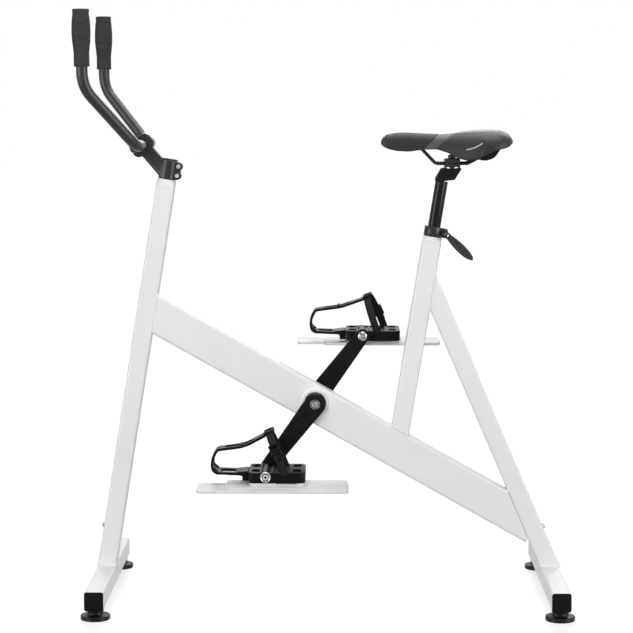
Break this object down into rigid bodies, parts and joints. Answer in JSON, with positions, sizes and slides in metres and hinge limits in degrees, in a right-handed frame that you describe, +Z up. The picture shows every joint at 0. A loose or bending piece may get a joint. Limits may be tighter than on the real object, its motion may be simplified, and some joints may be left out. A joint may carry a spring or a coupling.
{
  "type": "aqua bike",
  "caption": "White pool exercise bike: square-tube frame, pedals with toe cages and paddle boards, black saddle on a sliding post, tall curved grips",
  "frame": {"origin": "centre of the base of the bounding box, on the floor that the four feet stand on", "axes": "+X runs from the handlebar end back to the saddle end, +Y to the rider's right, +Z up"},
  "size_m": [1.0352, 0.542, 1.2581],
  "materials": {
    "white_frame": "smooth satin white powder coat over square tube",
    "black_alloy": "black anodised or painted, satin",
    "black_tube": "black anodised tube, semi gloss",
    "black_steel": "black painted steel rod",
    "bright_steel": "bright stainless steel",
    "black_plastic": "fine textured black plastic",
    "grey_lever": "dark grey smooth plastic",
    "white_board": "smooth white moulded sheet",
    "strap_webbing": "woven black strap",
    "grip_rubber": "soft dark grey grip, finely textured",
    "foot_rubber": "black moulded rubber",
    "saddle_skin": "matt black padded saddle cover"
  },
  "bodies": {
    "frame": {"front_post": "white_frame", "main_beam": "white_frame", "seat_tube": "white_frame", "rear_leg": "white_frame", "post_bolt": "bright_steel", "leg_bolt": "bright_steel", "post_head": "white_frame", "front_bar": "white_frame", "front_left_cap": "black_plastic", "front_left_foot": "foot_rubber", "front_right_cap": "black_plastic", "front_right_foot": "foot_rubber", "rear_bar": "white_frame", "rear_left_cap": "black_plastic", "rear_left_foot": "foot_rubber", "rear_right_cap": "black_plastic", "rear_right_foot": "foot_rubber", "bottom_bracket_shell": "white_frame", "left_bush": "black_plastic", "right_bush": "black_plastic", "stem": "black_alloy", "stem_top_cap": "black_plastic", "lower_pinch_bolt": "bright_steel", "upper_pinch_bolt": "bright_steel", "bar_clamp_cap": "black_alloy", "lower_cap_bolt": "bright_steel", "upper_cap_bolt": "bright_steel", "seat_sleeve": "white_frame", "seat_collar": "black_alloy", "collar_skewer": "bright_steel"},
    "handlebar": {"handlebar": "black_tube", "left_grip": "grip_rubber", "right_grip": "grip_rubber"},
    "crankset": {"crank_axle": "bright_steel", "left_crank": "black_alloy", "left_crank_bolt": "bright_steel", "left_pedal_axle": "bright_steel", "left_axle_end_bolt": "bright_steel", "right_crank": "black_alloy", "right_crank_bolt": "bright_steel", "right_pedal_axle": "bright_steel", "right_axle_end_bolt": "bright_steel"},
    "left_pedal": {"left_pedal": "black_plastic", "left_toe_cage": "black_plastic", "left_strap": "strap_webbing", "left_buckle": "black_plastic", "left_board": "white_board"},
    "right_pedal": {"right_pedal": "black_plastic", "right_toe_cage": "black_plastic", "right_strap": "strap_webbing", "right_buckle": "black_plastic", "right_board": "white_board"},
    "seat_post": {"seat_post": "black_tube"},
    "saddle_clamp": {"clamp_cradle": "black_tube", "clamp_plate": "black_tube", "clamp_bolt": "bright_steel"},
    "saddle": {"saddle_cover": "saddle_skin", "saddle_base": "black_plastic", "saddle_rails": "black_steel"},
    "quick_release": {"quick_release_lever": "grey_lever"}
  },
  "joints": [
    {"name": "crank_spin", "type": "hinge", "parent": "frame", "child": "crankset", "pos_m": [-0.02346, 0, 0.424], "axis": [0, 1, 0], "continuous": true},
    {"name": "left_pedal_spin", "type": "hinge", "parent": "crankset", "child": "left_pedal", "pos_m": [-0.12577, -0.1233, 0.28823], "axis": [0, 1, 0], "continuous": true},
    {"name": "right_pedal_spin", "type": "hinge", "parent": "crankset", "child": "right_pedal", "pos_m": [0.07885, 0.1233, 0.55977], "axis": [0, 1, 0], "continuous": true},
    {"name": "handlebar_tilt", "type": "hinge", "parent": "frame", "child": "handlebar", "pos_m": [-0.39416, 0, 0.97654], "axis": [0, 1, 0], "range_deg": [-20, 20]},
    {"name": "seat_height", "type": "slide", "parent": "frame", "child": "seat_post", "axis": [0.159, 0, 0.9873], "range_m": [-0.08, 0.1]},
    {"name": "saddle_tilt", "type": "hinge", "parent": "seat_post", "child": "saddle_clamp", "pos_m": [0.26908, 0, 0.98676], "axis": [0, 1, 0], "range_deg": [-8, 8]},
    {"name": "saddle_slide", "type": "slide", "parent": "saddle_clamp", "child": "saddle", "axis": [1, 0, 0], "range_m": [-0.01, 0.01]},
    {"name": "lever_swing", "type": "hinge", "parent": "frame", "child": "quick_release", "pos_m": [0.25595, -0.0153, 0.78768], "axis": [-0.6947, 0, -0.7193], "range_deg": [0, 150]}
  ]
}
